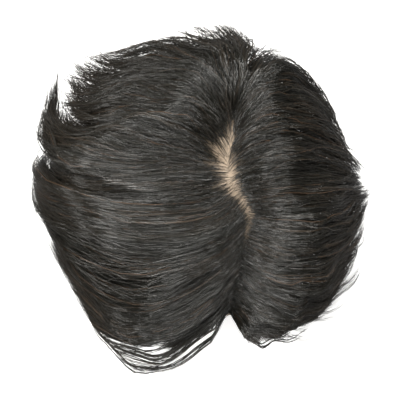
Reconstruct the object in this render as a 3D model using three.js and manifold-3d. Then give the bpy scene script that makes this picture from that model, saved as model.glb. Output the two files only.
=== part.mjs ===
// A short real hair wig that stands on its rim. A skin coloured scalp base, open below for the head and
// arched in front for the face, carries a short under layer of hair and five panels of longer hair.
// The panels leave a side parting where the base shows. Millimetres, +Z up, the face towards -Y.

import * as THREE from "three";
import { mergeVertices } from "three/addons/utils/BufferGeometryUtils.js";
import Module from "manifold-3d";

const wasm = await Module();
wasm.setup();

// Driving dimensions

const GAP = 0.4; // clear space between two pieces
const DEGREE = Math.PI / 180;

const BASE = {
  x: 3,
  y: 6,
  halfWidth: 77,
  halfLength: 91,
  height: 108,
  wall: 1.5,
  fullness: 2.3, // exponent of the dome: 2 is an ellipsoid, more is squarer
  columns: 36,
  rows: 9,
};

const BELOW_FLOOR = 10; // how far the cutting shapes reach under the rim

const FACE_ARCH = {
  halfWidth: 52,
  height: 46,
  back: 0.4, // where the cut ends, as a share of the base's half length from its middle
  steps: 12,
};

// The parting in plan, from the front hairline back past the whorl. bare: how far from it the hair starts on
// either side. Below 0, hair of both sides crosses it.
const PARTING = [
  { x: 19, y: -76, bare: -0.5 },
  { x: 24, y: -59, bare: -0.5 },
  { x: 27, y: -45, bare: -0.5 },
  { x: 30, y: -28, bare: 0.2 },
  { x: 33, y: -12, bare: 1.2 },
  { x: 24, y: 2, bare: 1.6 },
  { x: 18, y: 16, bare: 5.0 },
  { x: 21, y: 30, bare: 6.0 },
  { x: 21, y: 48, bare: 4.0 },
];

// One row for each guide hair of the outer layer, in order round the parting from the face, along the
// long side, across the back and down the short side. part: 0 at the front end of the parting, 1 at its
// back end. leave and arrive: heading in plan at the root and the tip, degrees from +X. bow: how far the
// hair swings on those headings. fall: how square its shoulder is. flick: dip before the tip turns up.
const GUIDES = [
  { part: 0.0, tipX: -74, tipY: -79, tipZ: 30, leave: 241, arrive: 114, bow: 1.8, fall: 1.8, flick: 0 },
  { part: 0.05, tipX: -80, tipY: -68, tipZ: 28, leave: 234, arrive: 118, bow: 1.8, fall: 1.9, flick: 0 },
  { part: 0.1, tipX: -88, tipY: -54, tipZ: 26, leave: 224, arrive: 120, bow: 1.8, fall: 2.1, flick: 0 },
  { part: 0.17, tipX: -97, tipY: -37, tipZ: 24, leave: 223, arrive: 123, bow: 1.8, fall: 2.5, flick: 0 },
  { part: 0.25, tipX: -103, tipY: -22, tipZ: 22, leave: 221, arrive: 124, bow: 1.8, fall: 3.0, flick: 0 },
  { part: 0.34, tipX: -109, tipY: -8, tipZ: 20, leave: 220, arrive: 122, bow: 1.7, fall: 3.4, flick: 0 },
  { part: 0.44, tipX: -113, tipY: 7, tipZ: 20, leave: 224, arrive: 112, bow: 1.4, fall: 3.6, flick: 0 },
  { part: 0.53, tipX: -111, tipY: 19, tipZ: 20, leave: 235, arrive: 90, bow: 1.1, fall: 3.6, flick: 0 },
  { part: 0.61, tipX: -108, tipY: 41, tipZ: 22, leave: 226, arrive: 71, bow: 1.1, fall: 3.6, flick: 0 },
  { part: 0.68, tipX: -99, tipY: 25, tipZ: 26, leave: 203, arrive: 80, bow: 0.8, fall: 3.4, flick: 0 },
  { part: 0.74, tipX: -103, tipY: 93, tipZ: 36, leave: 178, arrive: 82, bow: 1.9, fall: 2.8, flick: 14 },
  { part: 0.79, tipX: -89, tipY: 29, tipZ: 44, leave: 130, arrive: 226, bow: 1.05, fall: 2.6, flick: 0 },
  { part: 0.83, tipX: -95, tipY: 74, tipZ: 38, leave: 118, arrive: 110, bow: 1.2, fall: 2.5, flick: 6 },
  { part: 0.87, tipX: -86, tipY: 91, tipZ: 36, leave: 108, arrive: 130, bow: 1.0, fall: 2.4, flick: 10 },
  { part: 0.91, tipX: -70, tipY: 99, tipZ: 36, leave: 102, arrive: 155, bow: 1.1, fall: 2.4, flick: 12 },
  { part: 0.95, tipX: -50, tipY: 108, tipZ: 38, leave: 92, arrive: 160, bow: 1.1, fall: 2.3, flick: 14 },
  { part: 0.98, tipX: -23, tipY: 116, tipZ: 42, leave: 83, arrive: 152, bow: 1.05, fall: 2.2, flick: 16 },
  { part: 1.0, tipX: 0, tipY: 119, tipZ: 44, leave: 74, arrive: 145, bow: 0.8, fall: 2.2, flick: 16 },
  { part: 1.0, tipX: 25, tipY: 121, tipZ: 44, leave: 69, arrive: 110, bow: 0.8, fall: 2.2, flick: 16 },
  { part: 1.0, tipX: 50, tipY: 109, tipZ: 36, leave: 67, arrive: 50, bow: 0.9, fall: 2.2, flick: 10 },
  { part: 0.98, tipX: 87, tipY: 70, tipZ: 24, leave: 67, arrive: 306, bow: 1.7, fall: 2.2, flick: 2 },
  { part: 0.93, tipX: 94, tipY: 51, tipZ: 22, leave: 73, arrive: 295, bow: 1.5, fall: 2.2, flick: 0 },
  { part: 0.87, tipX: 102, tipY: 36, tipZ: 20, leave: 70, arrive: 297, bow: 1.25, fall: 2.2, flick: 0 },
  { part: 0.8, tipX: 107, tipY: 28, tipZ: 18, leave: 66, arrive: 310, bow: 0.9, fall: 2.2, flick: 0 },
  { part: 0.73, tipX: 111, tipY: 22, tipZ: 16, leave: 48, arrive: 335, bow: 0.8, fall: 2.2, flick: 0 },
  { part: 0.66, tipX: 113, tipY: 17, tipZ: 16, leave: 25, arrive: 0, bow: 0.7, fall: 2.2, flick: 0 },
  { part: 0.58, tipX: 115, tipY: 12, tipZ: 16, leave: 6, arrive: 25, bow: 0.85, fall: 2.2, flick: 0 },
  { part: 0.5, tipX: 116, tipY: 8, tipZ: 16, leave: 350, arrive: 42, bow: 1.1, fall: 2.2, flick: 0 },
  { part: 0.42, tipX: 116, tipY: 5, tipZ: 16, leave: 340, arrive: 56, bow: 1.4, fall: 2.2, flick: 0 },
  { part: 0.34, tipX: 116, tipY: -3, tipZ: 16, leave: 332, arrive: 58, bow: 1.5, fall: 2.2, flick: 0 },
  { part: 0.26, tipX: 111, tipY: -16, tipZ: 16, leave: 328, arrive: 62, bow: 1.7, fall: 2.2, flick: 0 },
  { part: 0.18, tipX: 107, tipY: -29, tipZ: 18, leave: 322, arrive: 63, bow: 1.7, fall: 2.1, flick: 0 },
  { part: 0.1, tipX: 102, tipY: -44, tipZ: 20, leave: 324, arrive: 56, bow: 1.7, fall: 2.0, flick: 0 },
  { part: 0.04, tipX: 95, tipY: -65, tipZ: 22, leave: 328, arrive: 38, bow: 1.6, fall: 1.9, flick: 0 },
  { part: 0.0, tipX: 72, tipY: -90, tipZ: 28, leave: 306, arrive: 20, bow: 1.8, fall: 1.8, flick: 0 },
];
const ROOT_LIFT = 15; // rise of the outer layer between root and tip
const ROOT_ABOVE_BASE = 2;
const DENT = { x: -54, y: -47, radius: 22, depth: 9 }; // the hollow of the long side's wave

// Panels of the outer layer, each a run of guides cut into locks.
const PANELS = [
  { name: "long_fringe", from: 0.0, to: 3.5, locks: 5 },
  { name: "long_sweep", from: 3.5, to: 9.5, locks: 6 },
  { name: "crown_hair", from: 9.5, to: 19.5, locks: 10 },
  { name: "short_sweep", from: 19.5, to: 32.0, locks: 8 },
  { name: "short_fringe", from: 32.0, to: 34.0, locks: 2 },
];

const LOCK = {
  bulgeFrom: 0.3, // the locks bulge away from this share of the base's height on its axis
  step: 0.01, // share of the guide between the two points that give a lock's direction
  sections: 9,
  sides: 6,
  start: 0.03, // share of the guide where a lock begins
  overlap: 1.7, // width of a lock over its share of the panel
  widest: 17, // most half width, where guides fan out
  crest: 3, // height of a lock over its guide
  belly: 9, // depth of a lock under its guide
  taperFrom: 0.6, // share of the guide where a lock starts to thin out
  taperPower: 0.8,
  shortest: 0.95, // uneven ends, as shares of the guide
  longest: 1.05,
};

const UNDER = {
  from: -42, // ends beside the face arch, degrees from +X round by the back
  to: 222,
  top: 80, // height of its upper edge on the base
  levels: 6,
  locks: 19,
  columnsPerLock: 4,
  standOff: 0.6, // clear of the base
  thickTop: 2.5,
  thickMiddle: 9,
  thickTip: 2,
  flareLeast: 10, // how far the tips stand off the base
  flareMost: 20,
  flarePower: 3,
  groove: 3.2, // depth of the grooves between its locks
  notch: 16, // height of the gaps between the tips
  notchPower: 1.5,
};

const HAIR = { color: 0x1e1a17, roughness: 0.45, metalness: 0 };
const SKIN = { color: 0xc9a98a, roughness: 0.7, metalness: 0 };

// Joining and cutting

function solidOf(geometry) {
  const bare = new THREE.BufferGeometry();
  bare.setAttribute("position", geometry.getAttribute("position").clone());
  if (geometry.index) bare.setIndex(geometry.index.clone());
  const merged = mergeVertices(bare, 1e-4);
  return new wasm.Manifold(
    new wasm.Mesh({
      numProp: 3,
      vertProperties: new Float32Array(merged.attributes.position.array),
      triVerts: new Uint32Array(merged.index.array),
    }),
  );
}

function geometryOf(solid) {
  const mesh = solid.getMesh();
  const geometry = new THREE.BufferGeometry();
  geometry.setAttribute("position", new THREE.BufferAttribute(mesh.vertProperties, 3));
  geometry.setIndex(new THREE.BufferAttribute(mesh.triVerts, 1));
  geometry.computeVertexNormals();
  return geometry;
}

const joined = (solids) => solids.reduce((all, one) => all.add(one));

// Cutting can leave crumbs: the piece is the largest body.
const largestBody = (solid) =>
  solid.decompose().reduce((most, body) => (body.volume() > most.volume() ? body : most));

// A closed loft: rings of points joined in order, with flat or pointed ends.
function loft(rings) {
  const sides = rings[0].length;
  const points = rings.flat();
  const index = [];
  for (let ring = 0; ring + 1 < rings.length; ring++) {
    for (let side = 0; side < sides; side++) {
      const a = ring * sides + side;
      const b = ring * sides + ((side + 1) % sides);
      index.push(a, b, b + sides, a, b + sides, a + sides);
    }
  }
  const last = (rings.length - 1) * sides;
  for (let side = 1; side + 1 < sides; side++) {
    index.push(0, side + 1, side);
    index.push(last, last + side, last + side + 1);
  }
  const geometry = new THREE.BufferGeometry().setFromPoints(points);
  geometry.setIndex(index);
  return geometry;
}

// Scalp base

// The dome's outline is a superellipse: one share of its size gives the other.
const otherShare = (share) => Math.max(0, 1 - share ** BASE.fullness) ** (1 / BASE.fullness);

// Height of the dome's outer face over a point in plan, or 0 outside it.
function domeHeight(x, y) {
  const fromAxis = Math.hypot((x - BASE.x) / BASE.halfWidth, (y - BASE.y) / BASE.halfLength);
  return BASE.height * otherShare(fromAxis);
}

// Half of a dome's outline, from its rim to its top on the axis.
function domeProfile(radius, height) {
  const power = 2 / BASE.fullness;
  const profile = [];
  for (let row = 0; row < BASE.rows; row++) {
    const turn = (row / BASE.rows) * 90 * DEGREE;
    profile.push(new THREE.Vector2(radius * Math.cos(turn) ** power, height * Math.sin(turn) ** power));
  }
  profile.push(new THREE.Vector2(0, height));
  return profile;
}

// A lathed profile on a round plan of halfWidth, stretched to the oval of the head and set upright.
function ovalLathe(profile) {
  const geometry = new THREE.LatheGeometry(profile, BASE.columns);
  geometry.rotateX(90 * DEGREE);
  geometry.scale(1, BASE.halfLength / BASE.halfWidth, 1);
  geometry.translate(BASE.x, BASE.y, 0);
  return geometry;
}

// A full dome that is larger than the base by a margin, to cut the hair clear of it.
function domeCutter(margin) {
  const radius = BASE.halfWidth + margin;
  const profile = domeProfile(radius, BASE.height + margin);
  profile.unshift(new THREE.Vector2(0, -BELOW_FLOOR), new THREE.Vector2(radius, -BELOW_FLOOR));
  return solidOf(ovalLathe(profile));
}

function faceArchCutter() {
  const arch = new THREE.Shape();
  arch.moveTo(-FACE_ARCH.halfWidth, -BELOW_FLOOR);
  arch.lineTo(FACE_ARCH.halfWidth, -BELOW_FLOOR);
  arch.absellipse(0, 0, FACE_ARCH.halfWidth, FACE_ARCH.height, 0, Math.PI, false, 0);
  const geometry = new THREE.ExtrudeGeometry(arch, {
    depth: BASE.halfLength,
    bevelEnabled: false,
    curveSegments: FACE_ARCH.steps,
  });
  geometry.rotateX(90 * DEGREE);
  geometry.translate(BASE.x, BASE.y - BASE.halfLength * FACE_ARCH.back, 0);
  return solidOf(geometry);
}

// A thin dome, open below, with the face arch cut through its front wall.
function scalpBase() {
  const outer = domeProfile(BASE.halfWidth, BASE.height);
  const inner = domeProfile(BASE.halfWidth - BASE.wall, BASE.height - BASE.wall).reverse();
  return solidOf(ovalLathe([...inner, ...outer])).subtract(faceArchCutter());
}

// Outer layer: guides, flow and locks

const partingCurve = new THREE.CatmullRomCurve3(
  PARTING.map(({ x, y, bare }) => new THREE.Vector3(x, y, bare)),
  false,
  "catmullrom",
);

const heading = (degrees) => new THREE.Vector3(Math.cos(degrees * DEGREE), Math.sin(degrees * DEGREE), 0);

// The root stands beside the parting. The curve carries the bare width as its third coordinate.
function rootOf(guide) {
  const parting = partingCurve.getPoint(guide.part);
  const root = parting.clone().addScaledVector(heading(guide.leave), parting.z);
  root.z = domeHeight(root.x, root.y) + ROOT_ABOVE_BASE;
  return root;
}

// A guide hair at share s of its way: a cubic in plan between the two headings, and a dome in height.
function guidePoint(guide, s) {
  const root = rootOf(guide);
  const tip = new THREE.Vector3(guide.tipX, guide.tipY, 0);
  const reach = Math.hypot(tip.x - root.x, tip.y - root.y) * guide.bow;
  const point = new THREE.Vector3()
    .addScaledVector(root, 2 * s ** 3 - 3 * s ** 2 + 1)
    .addScaledVector(heading(guide.leave), reach * (s ** 3 - 2 * s ** 2 + s))
    .addScaledVector(tip, 3 * s ** 2 - 2 * s ** 3)
    .addScaledVector(heading(guide.arrive), reach * (s ** 3 - s ** 2));
  const dome = guide.tipZ + (root.z - guide.tipZ) * (1 - s ** guide.fall);
  const dip = 4 * guide.flick * (s ** 4 - s ** 8);
  point.z = dome + ROOT_LIFT * Math.sin(Math.PI * s) - dip;
  return point;
}

// The outer layer as one surface: a smooth curve across the guides at share s, with the wave's dent.
function flowPoint(across, s) {
  const curve = new THREE.CatmullRomCurve3(
    GUIDES.map((guide) => guidePoint(guide, s)),
    false,
    "catmullrom",
  );
  const point = curve.getPoint(Math.min(1, Math.max(0, across / (GUIDES.length - 1))));
  const fromDent = Math.hypot(point.x - DENT.x, point.y - DENT.y) / DENT.radius;
  point.z -= DENT.depth * Math.exp(-(fromDent ** 2));
  return point;
}

// Uneven but repeatable: a number from 0 to 1 for each lock.
const unevenness = (number) => Math.abs(Math.sin(number * 12.9898) * 43758.5453) % 1;

// One lock: an uneven oval section, deeper below than above, carried along the flow to a point.
function lock(across, share, number, grow) {
  const length = THREE.MathUtils.lerp(LOCK.shortest, LOCK.longest, unevenness(number));
  const inHead = new THREE.Vector3(BASE.x, BASE.y, BASE.height * LOCK.bulgeFrom);
  const rings = [];
  for (let section = 0; section < LOCK.sections; section++) {
    const s = (LOCK.start + (1 - LOCK.start) * (section / (LOCK.sections - 1))) * length;
    const middle = flowPoint(across, s);
    const spacing = flowPoint(across + share / 2, s).distanceTo(flowPoint(across - share / 2, s));
    const along = flowPoint(across, s + LOCK.step).sub(flowPoint(across, s - LOCK.step)).normalize();
    const taper = Math.min(1, (1 - s / length) / (1 - LOCK.taperFrom)) ** LOCK.taperPower;
    const halfWidth = Math.min(LOCK.widest, (spacing / 2) * LOCK.overlap) * taper + grow;
    const sideways = new THREE.Vector3().crossVectors(middle.clone().sub(inHead), along).normalize();
    const up = new THREE.Vector3().crossVectors(along, sideways);
    const ring = [];
    for (let corner = 0; corner < LOCK.sides; corner++) {
      const turn = (corner / LOCK.sides) * 360 * DEGREE;
      const height = Math.sin(turn);
      const depth = (height > 0 ? LOCK.crest : LOCK.belly) * taper + grow;
      ring.push(
        middle
          .clone()
          .addScaledVector(sideways, halfWidth * Math.cos(turn))
          .addScaledVector(up, depth * height),
      );
    }
    rings.push(ring);
  }
  return solidOf(loft(rings));
}

// All the locks of a panel as one solid, larger by grow where it cuts its neighbours.
function panelLocks(panel, grow) {
  const share = (panel.to - panel.from) / panel.locks;
  const locks = [];
  for (let number = 0; number < panel.locks; number++) {
    locks.push(lock(panel.from + share * (number + 0.5), share, panel.from + number, grow));
  }
  return joined(locks);
}

// Under layer

// A skirt of short hair round the base, from one side of the face arch to the other. Its section hugs
// the base above and flares to thin tips. On its way round it swells and sinks into locks.
function underHair(grow) {
  const rings = [];
  const columns = UNDER.locks * UNDER.columnsPerLock;
  for (let column = 0; column <= columns; column++) {
    const turn = THREE.MathUtils.lerp(UNDER.from, UNDER.to, column / columns) * DEGREE;
    const inLock = column / UNDER.columnsPerLock;
    const swell = Math.abs(Math.sin(inLock * Math.PI));
    const uneven = unevenness(Math.floor(inLock) + 1);
    const foot = UNDER.notch * (1 - swell) ** UNDER.notchPower;
    const flare = THREE.MathUtils.lerp(UNDER.flareLeast, UNDER.flareMost, uneven * swell);
    const outside = [];
    const inside = [];
    for (let level = 0; level <= UNDER.levels; level++) {
      const down = level / UNDER.levels;
      const z = THREE.MathUtils.lerp(UNDER.top, foot, down);
      const standOff = UNDER.standOff - grow + flare * down ** UNDER.flarePower;
      const thickness =
        THREE.MathUtils.lerp(UNDER.thickTop, UNDER.thickTip, down) +
        UNDER.thickMiddle * Math.sin(Math.PI * down) -
        UNDER.groove * (1 - swell) * Math.sin(Math.PI * down) +
        2 * grow;
      inside.push(basePoint(turn, z, standOff));
      outside.push(basePoint(turn, z, standOff + thickness));
    }
    rings.push([...outside, ...inside.reverse()]);
  }
  return solidOf(loft(rings));
}

// A point level with the base's outer face at a height, moved outwards in plan.
function basePoint(turn, z, out) {
  const share = otherShare(z / BASE.height);
  return new THREE.Vector3(
    BASE.x + Math.cos(turn) * (BASE.halfWidth * share + out),
    BASE.y + Math.sin(turn) * (BASE.halfLength * share + out),
    z,
  );
}

// Assembly

const wig = new THREE.Group();

function addPiece(name, solid, look) {
  const mesh = new THREE.Mesh(geometryOf(solid), new THREE.MeshStandardMaterial(look));
  mesh.name = name;
  wig.add(mesh);
}

addPiece("scalp_base", scalpBase(), SKIN);

addPiece("under_hair", underHair(0), HAIR);

// Each panel is cut clear of the base, of the under layer and of the panels before it.
let taken = domeCutter(GAP).add(underHair(GAP));
for (const panel of PANELS) {
  addPiece(panel.name, largestBody(panelLocks(panel, 0).subtract(taken)), HAIR);
  taken = taken.add(panelLocks(panel, GAP));
}

// The origin is under the middle of the whole wig, on the surface that it rests on.
const box = new THREE.Box3().setFromObject(wig);
const centre = box.getCenter(new THREE.Vector3());
wig.position.set(-centre.x, -centre.y, -box.min.z);

export default wig;
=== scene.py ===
# %% [markdown]
# # A short real hair wig, combed strand by strand
#
# The frame holds a hollow scalp base and six solids in the form of locks. Here each of the six is
# replaced by the hair itself: thousands of thin closed tubes, combed along the same guide hairs that
# shaped the solids. The base stays, and gets its own finish.

import math

import bpy
import numpy as np
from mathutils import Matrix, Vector


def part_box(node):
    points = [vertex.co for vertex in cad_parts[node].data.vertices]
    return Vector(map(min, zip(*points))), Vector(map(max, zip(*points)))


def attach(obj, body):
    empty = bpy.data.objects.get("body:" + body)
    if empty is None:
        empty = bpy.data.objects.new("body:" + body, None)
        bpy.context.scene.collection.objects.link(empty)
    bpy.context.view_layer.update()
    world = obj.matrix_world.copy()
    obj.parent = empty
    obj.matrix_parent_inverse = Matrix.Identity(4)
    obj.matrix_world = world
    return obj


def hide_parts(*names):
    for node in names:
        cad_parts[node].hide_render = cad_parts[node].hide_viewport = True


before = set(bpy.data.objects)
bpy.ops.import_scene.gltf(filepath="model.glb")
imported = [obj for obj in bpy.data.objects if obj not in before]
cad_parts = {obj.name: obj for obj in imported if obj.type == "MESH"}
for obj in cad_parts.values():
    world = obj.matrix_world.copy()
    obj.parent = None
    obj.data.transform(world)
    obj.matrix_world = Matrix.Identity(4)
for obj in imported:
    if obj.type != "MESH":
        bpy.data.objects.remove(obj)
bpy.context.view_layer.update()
MM = 0.001
print("nodes:", sorted(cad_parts))

# %% [markdown]
# ## Where the base is
#
# On the wig, the hair is knotted to a thin dome. Here it is worked out in millimetres round that dome, so
# the dome's centre, width and height are read from the frame, and the hair follows the base. The dome's
# outline is a superellipse, a little squarer than an ellipse.

# %% The base's sizes
DOME_FULLNESS = 2.3
DOME_HALF_LENGTH = 91.0  # before the face arch is cut, so the base's box doesn't give it
base_low, base_high = (np.array(corner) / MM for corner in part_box("scalp_base"))
DOME_HALF_WIDTH = (base_high[0] - base_low[0]) / 2
DOME_HEIGHT = base_high[2]
DOME_CENTRE = np.array([(base_low[0] + base_high[0]) / 2, base_high[1] - DOME_HALF_LENGTH, 0.0])
TABLE_CENTRE = np.array([3.0, 6.0, 0.0])  # the dome's centre in the tables below
TABLE_SHIFT = DOME_CENTRE - TABLE_CENTRE
print("dome centre", DOME_CENTRE.round(2), "height", round(DOME_HEIGHT, 1))


def dome_level(points):
    """How far out points lie, 1 on the dome: the superellipse sum of plan radius and height, as a root."""
    local = points - DOME_CENTRE
    plan = np.hypot(local[..., 0] / DOME_HALF_WIDTH, local[..., 1] / DOME_HALF_LENGTH)
    rise = np.abs(local[..., 2]) / DOME_HEIGHT
    return (plan**DOME_FULLNESS + rise**DOME_FULLNESS) ** (1 / DOME_FULLNESS)


def onto_dome(points):
    """The points moved straight towards the dome's centre, or away from it, until they lie on it."""
    return DOME_CENTRE + (points - DOME_CENTRE) / dome_level(points)[..., None]


def dome_height(x, y):
    """Height of the dome over a place in plan: the other leg of the superellipse."""
    plan = np.hypot((x - DOME_CENTRE[0]) / DOME_HALF_WIDTH, (y - DOME_CENTRE[1]) / DOME_HALF_LENGTH)
    return DOME_HEIGHT * np.maximum(0, 1 - plan**DOME_FULLNESS) ** (1 / DOME_FULLNESS)


# %% [markdown]
# ## Camera, floor and light
#
# The wig is seen from almost straight above, through a long lens. Soft lamps stand all round it. Each one
# draws its own satin band, where the hair leans so that it mirrors the lamp: those at the sides where it
# falls away from the parting, those at the back all over the long side. One large lamp overhead would be
# simpler, but it would leave the sides flat. The pale floor lights the sides from below, but it is hidden
# from the gloss: hair that hangs steeply would mirror it and turn pale.

# %% Camera
CAMERA_AIM = TABLE_SHIFT + [5.8, -5.2, 55.0]
CAMERA_ELEVATION = math.radians(85)
CAMERA_DISTANCE = 1100.0
CAMERA_LENS = 141.2

camera_back = np.array([0, -math.cos(CAMERA_ELEVATION), math.sin(CAMERA_ELEVATION)])
camera = bpy.data.objects.new("camera", bpy.data.cameras.new("camera"))
camera.data.lens = CAMERA_LENS
camera.location = (CAMERA_AIM + camera_back * CAMERA_DISTANCE) * MM
camera.rotation_euler = Vector(-camera_back).to_track_quat("-Z", "Y").to_euler()
bpy.context.scene.collection.objects.link(camera)
bpy.context.scene.camera = camera
print("camera at", [round(value, 3) for value in camera.location])

# %% Floor
FLOOR_HALF = 12.0
floor_mesh = bpy.data.meshes.new("floor")
floor_corners = [(-FLOOR_HALF, -FLOOR_HALF, 0), (FLOOR_HALF, -FLOOR_HALF, 0),
                 (FLOOR_HALF, FLOOR_HALF, 0), (-FLOOR_HALF, FLOOR_HALF, 0)]
floor_mesh.from_pydata(floor_corners, [], [(0, 1, 2, 3)])
floor = bpy.data.objects.new("floor", floor_mesh)
bpy.context.scene.collection.objects.link(floor)
floor.visible_glossy = False
print("floor", 2 * FLOOR_HALF, "m square")

# %% Light
LAMP_COLOUR = (1.0, 0.99, 0.95)
LAMP_AIM = Vector((0, 0, 0.06))
ROOM_LIGHT = 0.25
# name, place in metres, side in metres, watts
LIGHTS = [
    ("overhead", (0.0, 0.0, 2.46), 0.9, 9),
    ("left", (-1.2, 0.0, 2.14), 0.9, 37),
    ("right", (1.2, 0.0, 2.14), 0.9, 9),
    ("front", (0.0, -1.2, 2.14), 0.9, 10),
    ("back", (0.0, 1.2, 2.14), 0.9, 28),
    ("low_left", (-2.32, 0.0, 0.68), 0.9, 20),
    ("low_back", (-1.0, 1.7, 1.44), 0.9, 31),
    ("low_right", (1.39, 1.39, 1.44), 0.9, 26),
]


def soft_light(name, place, side, watts):
    """A square lamp that faces the middle of the wig."""
    lamp = bpy.data.lights.new(name, "AREA")
    lamp.size = side
    lamp.energy = watts
    lamp.color = LAMP_COLOUR
    holder = bpy.data.objects.new(name, lamp)
    holder.location = place
    holder.rotation_euler = (LAMP_AIM - Vector(place)).to_track_quat("-Z", "Y").to_euler()
    bpy.context.scene.collection.objects.link(holder)


for light_row in LIGHTS:
    soft_light(*light_row)
world = bpy.data.worlds.new("studio")
world.use_nodes = True
world.node_tree.nodes["Background"].inputs["Color"].default_value = (1, 1, 1, 1)
world.node_tree.nodes["Background"].inputs["Strength"].default_value = ROOM_LIGHT
bpy.context.scene.world = world
bpy.context.scene.view_settings.view_transform = "Standard"
print("lights:", [row[0] for row in LIGHTS])

# %% [markdown]
# ## The guide hairs
#
# A hairdresser thinks in directions: where a hair leaves the parting, which way it points there, and
# where and which way it ends. Each row below is such a guide, in order round the parting from the face,
# along the long side, across the back and down the short side. Guides could also be drawn by hand as
# curves, but a table is easier to read, and one row changes a whole lock.

# %% Guide table
# x, y and half of the bare width beside it, in mm, from the front hairline back past the whorl
PARTING_ROWS = [
    (19, -76, -0.5),
    (24, -59, -0.5),
    (27, -45, -0.5),
    (30, -28, 0.2),
    (33, -12, 1.2),
    (24, 2, 1.6),
    (18, 16, 5.0),
    (21, 30, 6.0),
    (21, 48, 4.0),
]
PARTING = np.array(PARTING_ROWS, float)

# part, tip x, tip y, tip z, leave, arrive, bow, fall, flick: lengths in mm, headings in degrees from +X
GUIDE_ROWS = [
    (0.0, -74, -79, 30, 241, 114, 1.8, 1.8, 0),
    (0.05, -80, -68, 28, 234, 118, 1.8, 1.9, 0),
    (0.1, -88, -54, 26, 224, 120, 1.8, 2.1, 0),
    (0.17, -97, -37, 24, 223, 123, 1.8, 2.5, 0),
    (0.25, -103, -22, 22, 221, 124, 1.8, 3.0, 0),
    (0.34, -109, -8, 20, 220, 122, 1.7, 3.4, 0),
    (0.44, -113, 7, 20, 224, 112, 1.4, 3.6, 0),
    (0.53, -111, 19, 20, 235, 90, 1.1, 3.6, 0),
    (0.61, -108, 41, 22, 226, 71, 1.1, 3.6, 0),
    (0.68, -99, 25, 26, 203, 80, 0.8, 3.4, 0),
    (0.74, -103, 93, 36, 178, 82, 1.9, 2.8, 14),
    (0.79, -89, 29, 44, 130, 226, 1.05, 2.6, 0),
    (0.83, -95, 74, 38, 118, 110, 1.2, 2.5, 6),
    (0.87, -86, 91, 36, 108, 130, 1.0, 2.4, 10),
    (0.91, -70, 99, 36, 102, 155, 1.1, 2.4, 12),
    (0.95, -50, 108, 38, 92, 160, 1.1, 2.3, 14),
    (0.98, -23, 116, 42, 83, 152, 1.05, 2.2, 16),
    (1.0, 0, 119, 44, 74, 145, 0.8, 2.2, 16),
    (1.0, 25, 121, 44, 69, 110, 0.8, 2.2, 16),
    (1.0, 50, 109, 36, 67, 50, 0.9, 2.2, 10),
    (0.98, 87, 70, 24, 67, 306, 1.7, 2.2, 2),
    (0.93, 94, 51, 22, 73, 295, 1.5, 2.2, 0),
    (0.87, 102, 36, 20, 70, 297, 1.25, 2.2, 0),
    (0.8, 107, 28, 18, 66, 310, 0.9, 2.2, 0),
    (0.73, 111, 22, 16, 48, 335, 0.8, 2.2, 0),
    (0.66, 113, 17, 16, 25, 0, 0.7, 2.2, 0),
    (0.58, 115, 12, 16, 6, 25, 0.85, 2.2, 0),
    (0.5, 116, 8, 16, 350, 42, 1.1, 2.2, 0),
    (0.42, 116, 5, 16, 340, 56, 1.4, 2.2, 0),
    (0.34, 116, -3, 16, 332, 58, 1.5, 2.2, 0),
    (0.26, 111, -16, 16, 328, 62, 1.7, 2.2, 0),
    (0.18, 107, -29, 18, 322, 63, 1.7, 2.1, 0),
    (0.1, 102, -44, 20, 324, 56, 1.7, 2.0, 0),
    (0.04, 95, -65, 22, 328, 38, 1.6, 1.9, 0),
    (0.0, 72, -90, 28, 306, 20, 1.8, 1.8, 0),
]
part, tip_x, tip_y, tip_z, leave, arrive, bow, fall, flick = np.array(GUIDE_ROWS, float).T
GUIDE_NUMBERS = np.arange(len(GUIDE_ROWS))
print(len(GUIDE_ROWS), "guides")

# %% Curves through points


def curve_through(read, count, at):
    """A Catmull-Rom curve through the points read(0) to read(count - 1), at the numbers `at`.

    Between two points it is the cubic whose slope at each is half the step between its neighbours. Past
    an end, the last step is repeated.
    """
    first = np.clip(np.floor(at), 0, count - 2).astype(int)
    along = (at - first)[..., None]

    def point(number):
        inside = np.clip(number, 0, count - 1)
        past = (number - inside)[..., None]
        here = read(inside)
        return np.where(past == 0, here, 2 * here - read(inside - np.sign(number - inside)))

    before, start, end, after = (point(first + step) for step in (-1, 0, 1, 2))
    start_slope = (end - before) / 2
    end_slope = (after - start) / 2
    return (start + along * start_slope
            + along**2 * (3 * (end - start) - 2 * start_slope - end_slope)
            + along**3 * (2 * (start - end) + start_slope + end_slope))


def heading(degrees):
    """The unit direction in plan at an angle from +X."""
    return np.stack([np.cos(np.radians(degrees)), np.sin(np.radians(degrees))], -1)


# %% Guides as curves
ROOT_LIFT = 15.0  # mm that a guide rises in its middle over the fall from root to tip
ROOT_ABOVE_BASE = 2.0

parting_place = curve_through(PARTING.__getitem__, len(PARTING), part * (len(PARTING) - 1))
root_plan = parting_place[:, :2] + heading(leave) * parting_place[:, 2:] + TABLE_SHIFT[:2]
tip_plan = np.stack([tip_x, tip_y], -1) + TABLE_SHIFT[:2]
root_z = dome_height(root_plan[:, 0], root_plan[:, 1]) + ROOT_ABOVE_BASE
reach = np.linalg.norm(tip_plan - root_plan, axis=1) * bow
print("guides reach", round(reach.min()), "to", round(reach.max()), "mm")


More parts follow.
